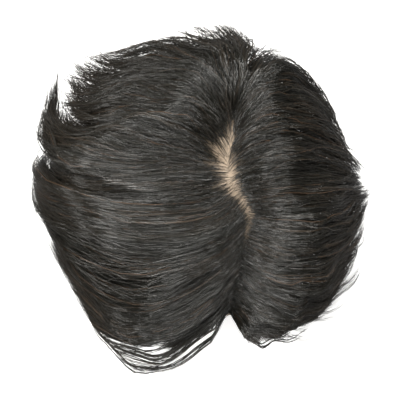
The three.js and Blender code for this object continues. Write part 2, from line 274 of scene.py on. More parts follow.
def guide_point(guide, share):
    """Guide hairs at a share of their way: in plan a cubic from root to tip that starts and ends on the
    two headings, and in height a fall from root to tip with a lift in the middle. Before its tip, a guide
    dips by its flick: the fourth power of the share less the eighth is a quarter at most."""
    s = share[..., None]
    plan = (root_plan[guide] * (2 * s**3 - 3 * s**2 + 1)
            + (heading(leave) * reach[:, None])[guide] * (s**3 - 2 * s**2 + s)
            + tip_plan[guide] * (3 * s**2 - 2 * s**3)
            + (heading(arrive) * reach[:, None])[guide] * (s**3 - s**2))
    down = np.maximum(share, 0)
    height = (tip_z[guide] + (root_z - tip_z)[guide] * (1 - down ** fall[guide])
              + ROOT_LIFT * np.sin(np.pi * down) - 4 * flick[guide] * (down**4 - down**8))
    return np.concatenate([plan, height[..., None]], -1)


# %% [markdown]
# Between the guides, the outer layer of the hair is one smooth surface, the flow, which the strands below
# follow. The long side waves, with a hollow towards the face. More guides could shape that hollow, but a
# bell pressed into the flow needs only a place, a width and a depth.

# %% The flow of the hair
HOLLOW_CENTRE = np.array([-52.0, -51.0])
HOLLOW_RADII = np.array([27.0, 16.0])
HOLLOW_DEPTH = 18.0


def hollow(points):
    """How far points lie in the hollow of the long side's wave: a bell in plan, 1 at its middle."""
    from_centre = (points[..., :2] - HOLLOW_CENTRE - TABLE_SHIFT[:2]) / HOLLOW_RADII
    return np.exp(-(np.linalg.norm(from_centre, axis=-1) ** 2))


def flow(across, share, sunk=1.0):
    """The outer layer of the hair as one surface: at each share, a smooth curve across the guides, less
    the hollow's depth, as far as the hair is sunk into it."""
    across, share = np.broadcast_arrays(across, share)
    points = curve_through(lambda guide: guide_point(guide, share), len(GUIDE_ROWS), across)
    points[..., 2] -= sunk * HOLLOW_DEPTH * hollow(points)
    return points


# %% [markdown]
# ## Strands as a mesh
#
# Blender has hair curves, but a reusable part needs a mesh. Each strand is a three-sided tube that ends
# in a point at both ends: closed, light, and round enough once it is shaded smooth. Its map gives each
# strand a narrow column, chosen by shade, with the root at the bottom and the tip at the top, so one
# small picture can hold the colours of all strands.

# %% Tubes along paths
SIDES = 3
ROLL = 2.4  # radians that each strand's section is turned past the last one's
TONES = 40  # shade columns from black to copper
PAINTED_SHADE_COLUMNS = 8  # dark columns with painted shade along a stretch, for the strands that dip into the hollow
SHADE_COLUMNS = TONES + PAINTED_SHADE_COLUMNS
COLUMN_MARGIN = 0.15  # share of a column that is kept free at each side


def unit(vectors):
    """The vectors at length 1."""
    return vectors / np.maximum(np.linalg.norm(vectors, axis=-1, keepdims=True), 1e-9)


def tube_points(paths, radii):
    """Points of the tubes: at each ring, three corners round the path at its radius, turned from strand
    to strand. The first and the last ring are each a single point."""
    ahead = unit(np.gradient(paths, axis=1))
    out = unit(paths - DOME_CENTRE)
    side = unit(np.cross(ahead, out))
    lift = np.cross(side, ahead)
    turn = (np.arange(len(paths)) * ROLL)[:, None] + np.arange(SIDES) * (2 * np.pi / SIDES)
    ring = (side[:, :, None] * np.cos(turn)[:, None, :, None]
            + lift[:, :, None] * np.sin(turn)[:, None, :, None])
    made = paths[:, :, None] + ring * radii[:, :, None, None]
    body = made[:, 1:-1].reshape(len(paths), -1, 3)
    return np.concatenate([paths[:, :1], body, paths[:, -1:]], axis=1)


def tube_faces(strands, rings, columns):
    """Faces of the tubes, as rows of four point numbers with the last one repeated on a triangle, and
    their map: u runs round the strand inside its shade column, v from root to tip."""
    level = np.arange(rings)
    corner = np.arange(SIDES + 1)
    number = 1 + (level[:, None] - 1) * SIDES + corner[None] % SIDES
    number[0] = 0
    number[-1] = 1 + (rings - 2) * SIDES
    low, high = number[:-1], number[1:]
    quads = np.stack([low[:, :-1], low[:, 1:], high[:, 1:], high[:, :-1]], -1).reshape(-1, 4)
    round_strand = COLUMN_MARGIN + (1 - 2 * COLUMN_MARGIN) * corner / SIDES
    u = np.broadcast_to(round_strand / SHADE_COLUMNS, number.shape)
    v = np.broadcast_to(level[:, None] / (rings - 1), number.shape)
    places = np.stack([u, v], -1)
    low, high = places[:-1], places[1:]
    squares = np.stack([low[:, :-1], low[:, 1:], high[:, 1:], high[:, :-1]], -2).reshape(-1, 4, 2)
    # At the root the two low corners are one point, so the face starts with its far corners.
    at_root = quads[:, 0] == quads[:, 1]
    quads[at_root] = quads[at_root][:, [2, 3, 0, 1]]
    squares[at_root] = squares[at_root][:, [2, 3, 0, 1]]
    per_strand = 2 + (rings - 2) * SIDES
    all_quads = quads[None] + np.arange(strands)[:, None, None] * per_strand
    offset = np.zeros((strands, 1, 1, 2))
    offset[:, 0, 0, 0] = columns / SHADE_COLUMNS
    all_squares = squares[None] + offset
    return all_quads.reshape(-1, 4), all_squares.reshape(-1, 4, 2)


# %% One mesh of many strands


def strand_mesh(name, batches):
    """One mesh of closed tubes. A batch holds paths (strands by rings by 3, in mm), radii (strands by
    rings, in mm) and columns (a shade number for each strand)."""
    points, faces, maps, used = [], [], [], 0
    for paths, radii, columns in batches:
        quads, places = tube_faces(*paths.shape[:2], columns)
        points.append(tube_points(paths, radii).reshape(-1, 3))
        faces.append(quads + used)
        maps.append(places)
        used += len(points[-1])
    corners = np.concatenate(faces)
    # A face whose last two corners agree is a triangle at a strand's end.
    triangle = corners[:, 2] == corners[:, 3]
    keep = np.ones(corners.shape, bool)
    keep[triangle, 3] = False
    sizes = keep.sum(1)
    mesh = bpy.data.meshes.new(name)
    mesh.vertices.add(used)
    mesh.vertices.foreach_set("co", (np.concatenate(points) * MM).astype(np.float32).ravel())
    mesh.loops.add(int(sizes.sum()))
    mesh.loops.foreach_set("vertex_index", corners[keep].astype(np.int32))
    mesh.polygons.add(len(sizes))
    mesh.polygons.foreach_set("loop_start", (np.cumsum(sizes) - sizes).astype(np.int32))
    mesh.polygons.foreach_set("use_smooth", np.ones(len(sizes), bool))
    layer = mesh.uv_layers.new(name="OFBake")
    layer.uv.foreach_set("vector", np.concatenate(maps)[keep].astype(np.float32).ravel())
    mesh.update(calc_edges=True)
    mesh.validate()
    piece = bpy.data.objects.new(name, mesh)
    bpy.context.scene.collection.objects.link(piece)
    print(name, sum(len(batch[0]) for batch in batches), "strands,", int((sizes - 2).sum()), "triangles")
    return piece


# %% [markdown]
# ## Where the hair parts and ends
#
# At the parting the roots don't start on a line: they thin out over a soft edge, wider where the base is
# bare. The ends are uneven too, since locks sweep aside and stop short of each other. A clean edge cut
# along the guides would look like a helmet, so the tables below give the edges by the guide.

# %% Tips and gaps
# Stretches of the guides that the locks part round on their way, from and to
GAP_ROWS = [
    (9.25, 9.85),
]

# guide, by how many guides the tips there sweep aside, how far along the guide dense hair ends
TIP_ROWS = [
    (1.9, 0.0, 1.0),
    (2.1, -0.6, 1.0),
    (3.2, 0.0, 1.0),
    (6.4, 0.0, 1.0),
    (7.2, -0.4, 1.0),
    (8.2, -0.8, 1.0),
    (8.7, -0.6, 0.9),
    (9.1, 0.0, 0.88),
    (9.4, 0.0, 1.0),
    (9.75, 0.0, 0.82),
    (10.0, -0.1, 1.0),
    (10.4, -0.4, 0.84),
    (10.8, -0.2, 0.9),
    (11.6, -0.1, 0.89),
    (12.3, -0.5, 0.87),
    (13.2, -1.1, 1.0),
    (14.0, -1.3, 1.02),
    (15.5, -1.2, 1.04),
    (17.0, -0.6, 1.0),
    (18.3, -0.3, 0.97),
    (18.6, 0.1, 0.97),
    (20.0, 0.2, 1.0),
    (22.0, 0.0, 1.0),
    (32.6, 0.0, 1.0),
    (33.1, 0.0, 0.74),
    (33.5, 0.0, 0.48),
    (34.0, 0.0, 0.36),
]
TIP_GUIDES, TIP_SWEEP, TIP_REACH = np.array(TIP_ROWS).T
LOCK_HOLD = 0.25  # how far clumps draw together into locks
FINE_STEPS = 400
print(len(TIP_ROWS), "rows of tips,", len(GAP_ROWS), "gap")


def cut_to_length(places, end):
    """The least and the most share of the way where clumps end, times how far the hair reaches there."""
    return np.outer(end, np.interp(places, TIP_GUIDES, TIP_REACH))


def lock_goals(places, locks):
    """For clumps at places across the guides: the number of their lock, the place that they draw towards
    and how far they do. Inside a gap they draw all the way to its nearer side."""
    lock_of = np.argmin(np.abs(places[:, None] - locks[None]), axis=1)
    goal = locks[lock_of]
    hold = np.full(len(places), LOCK_HOLD)
    for low, high in GAP_ROWS:
        inside = (places > low) & (places < high)
        nearer = np.where(places - low < high - places, low, high)
        goal = np.where(inside, nearer, goal)
        hold = np.where(inside, 1.0, hold)
    return lock_of, goal, hold


def spread_across(random, first, last, count, level=0.55):
    """Places across the guides, one at random in each of `count` equal widths, measured at a share of
    the way."""
    fine = np.linspace(first, last, FINE_STEPS)
    steps = np.linalg.norm(np.diff(flow(fine, np.full(FINE_STEPS, level)), axis=0), axis=1)
    walked = np.concatenate([[0], np.cumsum(steps)])
    shares = (np.arange(count) + random.random(count)) / count
    return np.interp(shares * walked[-1], walked, fine)


# %% The parting's soft edge
EDGE_SHARE = 0.58  # share of the soft edge that lies before the edge itself
EDGE_OUT, EDGE_LEAN = 1.35, 0.75  # mm out for each mm of bare width, and less for hair that leans to +X
SOFT_CLOSED, SOFT_OPENED = 3.0, 3.0  # mm of soft edge at a closed parting, and more at an open one
SOFT_OUT, SOFT_LEAN = 3.7, 1.5  # mm more for each mm of bare width, and less for hair that leans to +X


def parting_edge(places):
    """For places across the guides: how far out from the guides' roots the edge of the hair lies, and how
    wide its soft edge is, both in mm. They grow with the bare width, by more on the long side."""
    bare = np.interp(places, GUIDE_NUMBERS, parting_place[:, 2])
    lean = np.interp(places, GUIDE_NUMBERS, heading(leave)[:, 0])
    opened = np.clip(bare + 0.5, 0, 1)
    edge = opened + (EDGE_OUT - EDGE_LEAN * lean) * bare
    soft = SOFT_CLOSED + SOFT_OPENED * opened + (SOFT_OUT - SOFT_LEAN * lean) * np.maximum(bare, 0)
    return edge, soft


# %% [markdown]
# ## Combing a panel
#
# Hair never lies evenly. Hairs cling together in clumps a few millimetres wide, and clumps gather into
# locks towards their tips. Strands scattered singly would look like fur, so each clump gets a path on the
# flow, at its own depth under the outer layer, and each hair keeps its place in the clump's section, which
# narrows towards the tip. A few strays leave their clump and cross the others.

# %% The way of each hair
HAIR_ENDS = (0.95, 1.0)  # where hairs end, as shares of their clump's end
GATHERS = (0.15, 0.85)  # shares of the way from and to which clumps draw together
SWEEPS = (0.5, 1.0)  # the same for tips that sweep aside
STRAYS = 0.12  # share of the hairs that leave their clump
STRAY_DRIFT, CLUMP_DRIFT = 1.1, 0.08  # how far hairs drift across the guides by their tips
CALM_GUIDES, CALM_LEAST = 4, 0.1  # beside the face, the strays of so many guides drift less, to this share


def smooth_step(low, high, value):
    """0 below low, 1 above high, and an S-shaped cubic between."""
    t = np.clip((value - low) / (high - low), 0, 1)
    return t * t * (3 - 2 * t)


def per_hair(clump_values, hairs):
    """The clumps' values for each of their hairs, as a column that spreads along the rings."""
    return np.repeat(clump_values, hairs)[:, None]


def hair_ways(random, places, goal, hold, hairs, along, start, late, clump_end):
    """For each hair at each ring: its share of the guides' way, its mm from the root and its place across
    the guides. Also which hairs are strays.

    A hair starts in the soft edge, a little late or early. On its way it draws towards its clump's goal,
    drifts in a straight line across the guides, and sweeps aside near its tip.
    """
    clumps, count = len(places), len(places) * hairs
    edge, soft = parting_edge(places)
    begin_mm = edge + soft * (random.random((hairs, clumps)) ** late - EDGE_SHARE) + start
    length = per_hair(np.interp(places, GUIDE_NUMBERS, reach), hairs)
    begin = begin_mm.T.reshape(-1, 1) / length
    finish = per_hair(clump_end, hairs) * random.uniform(*HAIR_ENDS, (count, 1))
    share = begin + (finish - begin) * along
    is_stray = random.random(count) < STRAYS
    from_face = np.repeat(np.minimum(places, len(GUIDE_ROWS) - 1 - places), hairs)
    calm = np.clip(from_face / CALM_GUIDES, CALM_LEAST, 1)
    drift = np.where(is_stray, STRAY_DRIFT * calm, CLUMP_DRIFT)
    drifted = (random.normal(0, 1, count) * drift)[:, None] * share
    drawn = per_hair(goal - places, hairs) * (per_hair(hold, hairs) * smooth_step(*GATHERS, share))
    swept = per_hair(np.interp(places, TIP_GUIDES, TIP_SWEEP), hairs) * smooth_step(*SWEEPS, share)
    across = per_hair(places, hairs) + drawn + drifted + swept
    return share, (share - begin) * length, across, is_stray


# %% Shades
BRIGHT_HAIRS = 0.04  # share of the hairs that are brown or copper
BRIGHT_TONES = (0.7, 1.0)
CLUMP_TONE, HAIR_TONE = 0.7, 0.1  # how far clumps, and hairs within them, differ in tone
PAINTED_SHADE_FROM = (0.25, 0.5)  # how far into the hollow a hair has to dip to get a column with painted shade, least and most


def shade_columns(random, clumps, hairs, is_stray, outer):
    """A shade column for each hair. Dark ones are the most, alike within a clump, with a few bright hairs
    among them. Hair that dips into the hollow gets a column with painted shade, unless it is a stray."""
    count = clumps * hairs
    clump_tone = np.repeat(random.random(clumps), hairs)
    tone = CLUMP_TONE * clump_tone**2 + HAIR_TONE * random.random(count) ** 2
    tone = np.where(random.random(count) < BRIGHT_HAIRS, random.uniform(*BRIGHT_TONES, count), tone)
    # Painted shade: hair that dips into the hollow gets one of the darker columns.
    gets_painted_shade = ~is_stray & (hollow(outer).max(1) > random.uniform(*PAINTED_SHADE_FROM, count))
    painted_shade = TONES + random.integers(0, PAINTED_SHADE_COLUMNS, count)
    return np.where(gets_painted_shade, painted_shade, np.floor(tone * TONES))


# %% How hair lies and sways
LOWEST = 0.6  # mm over the floor that every hair keeps
ROOT_POINT = 0.012  # share of a hair that its pointed root takes up
RISE = 20.0  # mm of its way over which a hair climbs from the base to its depth
ROOM_USED = 0.92  # share of the room over the base down to which hair may lie
DEPTH_POWER = 1.2  # more than 1 puts more clumps at the shallow end
CREST, CREST_AT, CREST_WIDTH = 2.5, 14.0, 8.0  # mm: a low ridge of hair beside the parting
STRAY_SUNK = 0.3  # how far strays follow the hollow that the rest of the hair sinks into

NARROWS = (0.05, 1.0)  # shares of the way from and to which a clump narrows
CLUMP_SPREAD, CLUMP_FLAT = 0.55, 0.45  # how far hairs spread in a clump's half width, and in its height
CLUMP_PACE = (1.1, 2.5)  # waves on the way along which a clump swings, least and most
SWING_UP = 0.5  # how far clumps swing up, for each mm that they swing aside
BEND, WISP_BEND = 0.7, 0.2  # mm that a clump or a wisp bends at each ring, so that its gloss breaks up
CURL_POWER, CURL_TO = 4, 1.2  # the curl grows with this power of the way, up to this share

STRAY_SWING, CLUMP_SWING = 2.2, 0.4  # mm that a stray, and a hair in its clump, swings by itself
HAIR_PACE, HAIR_PHASES = 2.2, 6.0  # waves on the way of a hair by itself, and their phases in radians
LOCK_SWING, LOCK_PACE = 0.4, 1.6  # how far locks swing aside for each mm of wave, and waves on the way
LOCK_BUMP, BUMP_PACE = 1.8, 1.1  # mm that locks rise and sink, and waves on the way

RIPPLE, RIPPLE_ASIDE = 1.1, 0.5  # mm that the coat ripples up, and aside for each mm of wave
# waves on the way, radians from guide to guide, phase in radians
RIPPLE_WAVES = [
    (2.2, 1.9, 0.0),
    (3.1, -1.4, 1.0),
]

ROOT_THICK, ROOT_STRETCH = 0.7, 0.12  # share of its thickness that a hair has at its root, and up to where
TIP_THINNER, TIP_STRETCH = 0.5, 0.7  # share of its thickness that it loses at its tip, and from where

# %% Combing


def thickness(along):
    """How thick a hair is along its way, 1 in the middle: it swells from its root and thins to its tip."""
    root = ROOT_THICK + (1 - ROOT_THICK) * smooth_step(0, ROOT_STRETCH, along)
    return root * (1 - TIP_THINNER * smooth_step(TIP_STRETCH, 1.0, along))


def comb(random, places, locks, hairs, rings, depth, width, start, late, end, wave, curl, thick,
         bend=BEND):
    """Paths, radii and shade columns of one coat of hair.

    places: where each clump lies across the guides. locks: places that the clumps draw towards at their
    tips. hairs: how many in a clump. rings: how many along a hair. depth: shallowest and deepest under the
    flow, mm. width: a clump's half width at the root and the tip, mm. start: how far past the parting's
    edge the roots are, mm. late: a power, 1 for roots spread evenly over the soft edge, less for most of
    them at its far end. end: least and most share of the way where clumps end. wave: how far a clump
    swings aside, mm. curl: the same at its tip. thick: least and most radius, mm. bend: how far a clump
    bends at each ring, mm.

    A path is the flow, moved aside and up by the sum of all that sways it, and down to its depth.
    """
    clumps, count = len(places), len(places) * hairs
    lock_of, goal, hold = lock_goals(places, locks)
    lock_bump = LOCK_BUMP * random.normal(0, 1, len(locks))[lock_of]
    lock_phase = per_hair(random.uniform(0, 2 * np.pi, len(locks))[lock_of], hairs)
    lock_swing = wave * LOCK_SWING * random.normal(0, 1, len(locks))[lock_of]
    clump_depth = depth[0] + (depth[1] - depth[0]) * random.random(clumps) ** DEPTH_POWER
    clump_end = random.uniform(*end, clumps)
    phase = random.uniform(0, 2 * np.pi, (clumps, 2))
    pace = random.uniform(*CLUMP_PACE, clumps)
    swing = wave * random.normal(0, 1, (clumps, 2))
    tip_swing = curl * random.normal(0, 1, clumps)

    along = np.concatenate([[0], np.linspace(ROOT_POINT, 1, rings - 1)])[None]
    share, from_root, across, is_stray = hair_ways(random, places, goal, hold, hairs, along, start, late,
                                                   clump_end)
    sunk = np.where(is_stray, STRAY_SUNK, 1.0)[:, None]
    outer = flow(np.clip(across, 0, len(GUIDE_ROWS) - 1), share, sunk)
    out = unit(outer - DOME_CENTRE)
    side = unit(np.cross(unit(np.gradient(outer, axis=1)), out))
    room = np.linalg.norm(outer - onto_dome(outer), axis=-1)
    climb = smooth_step(0, RISE, from_root)
    below = room * (1 - climb) + np.minimum(per_hair(clump_depth, hairs), room * ROOM_USED) * climb

    narrow = width[0] + (width[1] - width[0]) * smooth_step(*NARROWS, share)
    place = random.normal(0, CLUMP_SPREAD, (count, 2))
    turns = share * 2 * np.pi
    ripple = sum(np.sin(turns * waves + across * slant + shift) for waves, slant, shift in RIPPLE_WAVES)
    swing_size = np.where(is_stray, STRAY_SWING, CLUMP_SWING)[:, None] * random.normal(0, 1, (count, 1))
    hair_swing = swing_size * np.sin(turns * HAIR_PACE + random.uniform(0, HAIR_PHASES, (count, 1)))
    clump_turns = turns * per_hair(pace, hairs)
    clump_swing = per_hair(swing[:, 0], hairs) * np.sin(clump_turns + per_hair(phase[:, 0], hairs))
    clump_rise = per_hair(swing[:, 1], hairs) * np.sin(clump_turns + per_hair(phase[:, 1], hairs))
    lock_aside = per_hair(lock_swing, hairs) * np.sin(turns * LOCK_PACE + lock_phase)
    lock_rise = per_hair(lock_bump, hairs) * np.sin(turns * BUMP_PACE + lock_phase)
    bend_aside = bend * np.repeat(random.normal(0, 1, (clumps, rings)), hairs, axis=0)
    bend_up = bend * np.repeat(random.normal(0, 1, (clumps, rings)), hairs, axis=0)
    tip_curl = per_hair(tip_swing, hairs) * np.clip(share, 0, CURL_TO) ** CURL_POWER
    crest = CREST * np.exp(-(((from_root - CREST_AT) / CREST_WIDTH) ** 2))
    sway = (clump_swing + hair_swing + lock_aside + wave * RIPPLE_ASIDE * ripple) * share
    aside = place[:, :1] * narrow + sway + bend_aside * climb + tip_curl
    above = (place[:, 1:] * narrow * CLUMP_FLAT + clump_rise * SWING_UP * share + bend_up
             + lock_rise + RIPPLE * ripple + crest)
    paths = outer + side * aside[..., None] + out * (above * climb - below)[..., None]
    paths[..., 2] = np.maximum(paths[..., 2], LOWEST)
    radii = random.uniform(*thick, (count, 1)) * thickness(along)
    return paths, radii, shade_columns(random, clumps, hairs, is_stray, outer)


# %% [markdown]
# ## Wisps on their own
#
# At the back and at the short fringe, a few hairs leave the wig altogether and curl back across the rest.
# The guides can't lead them there, and chance would seldom put them in the right place. So each wisp is a
# short curve of its own: from its start towards a point, and on to its tip.

# %% Loose wisps
# node, hairs, then x, y and z in mm of a wisp's start, of the point it bends towards, and of its tip
LOOSE_ROWS = [
    ("crown_hair", 1, (-58, 90, 42), (-70, 100, 46), (-70, 113, 48)),
    ("crown_hair", 1, (-42, 100, 46), (-50, 112, 52), (-38, 117, 54)),
    ("crown_hair", 1, (-40, 98, 46), (-46, 117, 54), (-26, 115, 52)),
    ("crown_hair", 1, (-99, 70, 40), (-97, 86, 44), (-84, 88, 46)),
    ("crown_hair", 1, (-94, 62, 44), (-90, 78, 48), (-76, 82, 50)),
    ("short_fringe", 8, (48, -82, 45), (60, -97, 38), (80, -93, 34)),
    ("short_fringe", 6, (50, -78, 45), (62, -90, 40), (74, -88, 37)),
    ("short_fringe", 8, (66, -76, 42), (82, -84, 36), (97, -76, 32)),
    ("short_fringe", 6, (70, -72, 42), (88, -80, 36), (99, -68, 32)),
]
LOOSE_RINGS = 12
LOOSE_RADIUS, LOOSE_THINNER = 0.18, 0.6  # mm, and the share of it that is lost at the tip
LOOSE_SPREAD = 0.7  # mm between the hairs of a wisp
LOOSE_CLOSE, LOOSE_OPENS = 0.5, 2.0  # times that spread at the start, and how much more at the tip
LOOSE_COLUMN = 8
print(len(LOOSE_ROWS), "loose wisps")


def loose_wisp(random, hairs, start, towards, tip):
    """A few hairs on their own: parabolas that leave a start towards a point and end at a tip, each a
    little beside the other. A single hair keeps to the curve itself."""
    t = np.linspace(0, 1, LOOSE_RINGS)[:, None]
    curve = (1 - t) ** 2 * np.array(start) + 2 * t * (1 - t) * np.array(towards) + t**2 * np.array(tip)
    beside = random.normal(0, LOOSE_SPREAD, (hairs, 1, 3)) * (LOOSE_CLOSE + LOOSE_OPENS * t) * (hairs > 1)
    radii = np.repeat(LOOSE_RADIUS * (1 - LOOSE_THINNER * t.T), hairs, axis=0)
    return curve + TABLE_SHIFT + beside, radii, np.full(hairs, LOOSE_COLUMN)


# %% [markdown]
# ## The five outer panels
#
# On the wig these are the two swept sides, the crown and the two fringes. A bent sheet with a picture of
# hair would be lighter, but its edges would be hard and its gloss flat. Each panel has a deep coat, which
# fills its body, a top coat of finer hairs that reaches the parting, and a sparse coat of short hairs that
# softens the parting. Under the long fringe, hair hugs the base along the hairline. Beyond the dense hair,
# wisps hang free.

# %% Panel tables
# node, first and last guide of its dense hair, locks, top clumps, deep clumps, wave, curl, end shares
PANELS = [
    ("long_fringe", 2.1, 3.8, 9, 250, 50, 1.0, 1.0, (0.96, 1.05)),
    ("long_sweep", 3.3, 9.6, 20, 430, 80, 1.4, 2.0, (0.98, 1.06)),
    ("crown_hair", 9.4, 19.6, 30, 365, 100, 3.2, 3.0, (1.0, 1.06)),
    ("short_sweep", 19.4, 32.2, 26, 430, 80, 1.3, 1.5, (0.98, 1.06)),
    ("short_fringe", 31.8, 34.0, 7, 210, 40, 1.2, 2.0, (0.92, 1.05)),
]

# node, guide, clumps, spread across the guides, half width in mm, least and most share of the way
WISPS = [
    ("long_fringe", 0.02, 3, 0.02, 0.7, (0.97, 1.03)),
    ("long_fringe", 0.3, 2, 0.04, 0.6, (0.6, 0.95)),
    ("long_fringe", 0.55, 2, 0.06, 0.8, (0.7, 1.0)),
    ("long_fringe", 0.85, 3, 0.08, 0.8, (0.7, 1.0)),
    ("long_fringe", 1.2, 6, 0.08, 1.0, (0.7, 1.0)),
    ("long_fringe", 1.65, 2, 0.1, 0.6, (0.7, 1.0)),
    ("crown_hair", 10.0, 18, 0.1, 2.2, (0.9, 1.02)),
    ("crown_hair", 18.0, 18, 0.3, 2.5, (0.98, 1.04)),
    ("short_fringe", 32.6, 4, 0.15, 1.2, (1.05, 1.2)),
    ("short_fringe", 33.1, 4, 0.1, 1.0, (1.0, 1.2)),
    ("short_fringe", 33.5, 4, 0.08, 0.9, (0.9, 1.15)),
    ("short_fringe", 33.95, 3, 0.05, 0.9, (0.8, 1.15)),
]
WISP_TIP = 0.4  # a wisp's width at its tip, as a share of its width

# node, first and last guide, and clumps of the hair that hugs the base along the front hairline
HAIRLINE = ("long_fringe", 0.0, 2.3, 80)
DEEP_PAST = 0.05  # share of its way that deep hair goes past the end, to fill the edge from below
PANEL_SEED = 100
print(len(PANELS), "panels,", len(WISPS), "sets of wisps")

# %% Panels


def panel_hair(number, node, first, last, lock_count, top_clumps, deep_clumps, wave, curl, end):
    """The strands that stand for one panel."""
    random = np.random.default_rng(PANEL_SEED + number)
    locks = spread_across(random, first, last, lock_count)
    top = spread_across(random, first, last, top_clumps)
    deep = spread_across(random, first, last, deep_clumps)
    coats = [
        comb(random, top, locks, hairs=5, rings=13, depth=(-2.5, 4.0), width=(1.1, 0.9), start=0.0,
             late=0.3, end=cut_to_length(top, end), wave=wave, curl=curl, thick=(0.12, 0.24)),
        comb(random, deep, locks, hairs=8, rings=9, depth=(4.0, 9.0), width=(4.0, 2.5), start=15.0,
             late=0.6, end=cut_to_length(deep, end) + DEEP_PAST, wave=1.0, curl=1.0, thick=(0.3, 0.45)),
        comb(random, spread_across(random, first, last, top_clumps, level=0.03), locks, hairs=2, rings=6,
             depth=(-1.0, 2.0), width=(1.2, 1.2), start=-0.8, late=0.7, end=(0.12, 0.35), wave=0.6,
             curl=0.5, thick=(0.08, 0.15)),
    ]
    if node == HAIRLINE[0]:
        hugging = spread_across(random, *HAIRLINE[1:], level=0.2)
        coats.append(comb(random, hugging, locks, hairs=7, rings=8, depth=(14.0, 18.0), width=(3.0, 2.0),
                          start=0.0, late=1.0, end=(0.25, 0.55), wave=0.8, curl=0.8, thick=(0.16, 0.26)))
    for wisp_node, guide, clumps, spread, width, wisp_end in WISPS:
        if wisp_node == node:
            places = guide + spread * random.normal(0, 1, clumps)
            coats.append(comb(random, places, np.array([guide]), hairs=8, rings=17, depth=(-1.0, 2.0),
                              width=(width, width * WISP_TIP), start=0.0, late=0.5, end=wisp_end,
                              wave=0.6, curl=1.0, thick=(0.12, 0.2), bend=WISP_BEND))
    coats += [loose_wisp(random, *row[1:]) for row in LOOSE_ROWS if row[0] == node]
    piece = strand_mesh(node + "_strands", coats)
    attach(piece, "root")
    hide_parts(node)
    return piece


hair_pieces = [panel_hair(number, *row) for number, row in enumerate(PANELS)]

# %% [markdown]
# ## The short under layer
#
# Below the panels, short hair hugs the base and flares to the tips that touch the surface it stands on.
# It hangs straight down all round, so it needs no guides: height on the dome and heading round it are
# enough to say where a hair runs.

# %% Measures of the under layer
UNDER_FROM, UNDER_TO = -42.0, 222.0  # degrees round the dome from +X
UNDER_LOWEST, UNDER_TOP = 25.0, 84.0  # mm, heights of the roots
UNDER_LOCKS = 19
UNDER_NOTCH, NOTCH_POWER = (4.0, 10.0), 2.5  # mm that hair ends higher between locks, and how sharply
UNDER_RAGGED = 3.0  # mm that single tips end higher
UNDER_GATHER = 0.35  # how far hairs draw to the middle of their lock
UNDER_SPREAD, SPREAD_LESS = 0.2, 0.3  # spread of hairs in a lock's width, and how much less at the tips
UNDER_STAND = (0.5, 1.0)  # how far a hair stands off, as a share of what follows
UNDER_CLEAR, UNDER_BULGE, UNDER_FLARE = 0.8, 9.0, 14.0  # mm off the dome: always, midway, at the tip
UNDER_LEAVES = 0.3  # share of its way over which a hair leaves the dome
FLARE_POWER, FLARE_VARIES = 3, (0.7, 1.3)  # how sharply the tips flare, and how far locks differ in it
UNDER_THICK = (0.16, 0.28)  # mm, least and most radius
UNDER_THINNER, UNDER_THINS = 0.7, (0.6, 1.0)  # share of it lost at the tip, and from where to where
UNDER_SEED = 200

# %% Under layer


def under_hair(random, clumps, hairs, rings):
    """Strands from roots spread over the dome's side. Each goes down the dome at one heading, stands off
    it by a bulge in the middle and a flare at the tip, and ends where its lock's tip lets it."""
    count = clumps * hairs
    lock_place = (np.arange(clumps) + random.random(clumps)) / clumps * UNDER_LOCKS
    lock_of = np.floor(lock_place).astype(int)
    lock_flare = per_hair(random.uniform(*FLARE_VARIES, UNDER_LOCKS + 1)[lock_of], hairs)
    root_height = per_hair(random.uniform(UNDER_LOWEST, UNDER_TOP, clumps), hairs)
    off_centre = per_hair(lock_place - lock_of - 0.5, hairs)
    notch = per_hair(random.uniform(*UNDER_NOTCH, UNDER_LOCKS + 1)[lock_of], hairs)
    ragged = np.abs(random.normal(0, UNDER_RAGGED, (count, 1)))
    foot = LOWEST + notch * np.abs(2 * off_centre) ** NOTCH_POWER + ragged
    along = np.linspace(0, 1, rings)[None]
    height = root_height + (foot - root_height) * along
    down = np.clip(1 - height / UNDER_TOP, 0, 1)
    spread = random.normal(0, UNDER_SPREAD, (count, 1)) * (1 - SPREAD_LESS * along)
    gathered = off_centre * (1 - UNDER_GATHER * along**2)
    lock_turn = per_hair(lock_of, hairs) + 0.5 + gathered + spread
    turn = np.radians(UNDER_FROM + (UNDER_TO - UNDER_FROM) * lock_turn / UNDER_LOCKS)
    stand = random.uniform(*UNDER_STAND, (count, 1))
    bulge = stand * UNDER_BULGE * np.sin(np.pi * down) * smooth_step(0, UNDER_LEAVES, along)
    flare = UNDER_FLARE * (lock_flare * stand) * down**FLARE_POWER * along
    off = UNDER_CLEAR + bulge + flare
    plan = np.maximum(0, 1 - (height / DOME_HEIGHT) ** DOME_FULLNESS) ** (1 / DOME_FULLNESS)
    x = DOME_CENTRE[0] + np.cos(turn) * (DOME_HALF_WIDTH * plan + off)
    y = DOME_CENTRE[1] + np.sin(turn) * (DOME_HALF_LENGTH * plan + off)
    taper = 1 - UNDER_THINNER * smooth_step(*UNDER_THINS, along)
    radii = random.uniform(*UNDER_THICK, (count, 1)) * taper
    return np.stack([x, y, height], -1), radii, np.floor(random.random(count) ** 2 * TONES)


under_random = np.random.default_rng(UNDER_SEED)
under_strands = under_hair(under_random, clumps=280, hairs=8, rings=11)
under_piece = strand_mesh("under_hair_strands", [under_strands])
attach(under_piece, "root")
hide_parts("under_hair")
hair_pieces.append(under_piece)

# %% [markdown]
# ## Finishes
#
# A material is a small program. Its nodes could be placed and linked one by one, but sums are easier to
# read. The class below wraps a socket, and each operator adds the Math node that does the sum.

# %% Shader sums


